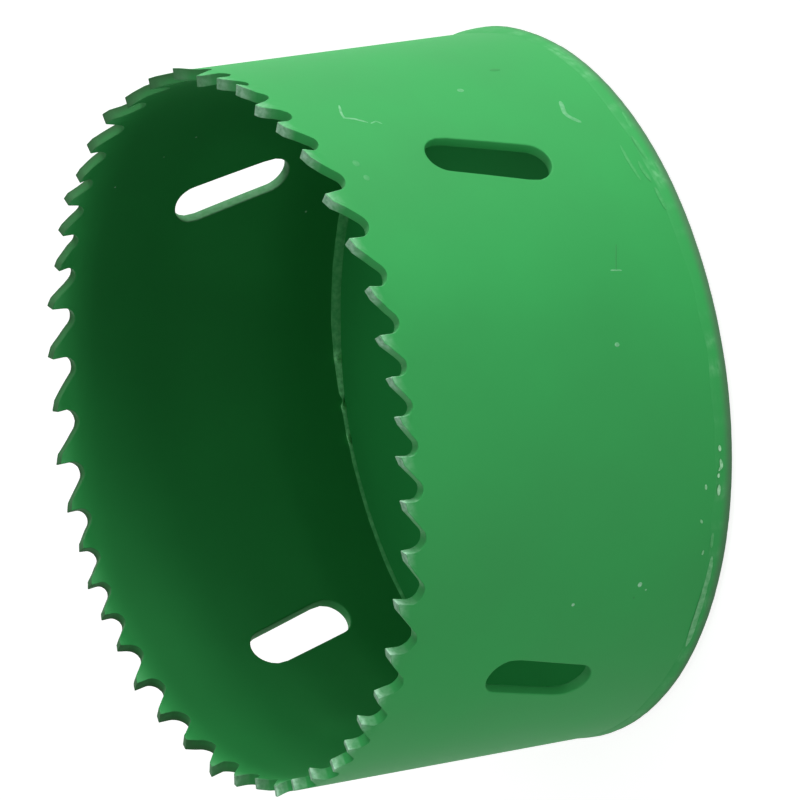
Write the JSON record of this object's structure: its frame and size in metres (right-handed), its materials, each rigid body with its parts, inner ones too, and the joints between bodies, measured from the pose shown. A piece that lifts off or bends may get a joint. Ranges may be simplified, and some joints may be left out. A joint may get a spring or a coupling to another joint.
{
  "type": "hole saw",
  "caption": "Green painted bi-metal hole saw: a toothed cup with slanted pry slots, welded to a thick plate with a threaded arbor hole and drive-pin holes.",
  "frame": {"origin": "centre of the end plate's back face, on the saw's axis", "axes": "+Z along the axis from the end plate to the teeth; a pry slot lies near each of +X, +Y, -X and -Y"},
  "size_m": [0.0829, 0.0829, 0.0427],
  "materials": {
    "painted_band": "semi-gloss",
    "painted_plate": "semi-gloss",
    "painted_weld": "semi-gloss"
  },
  "bodies": {
    "root": {"toothed_band": "painted_band", "end_plate": "painted_plate", "rim_weld": "painted_weld", "inner_weld": "painted_weld"}
  },
  "joints": []
}
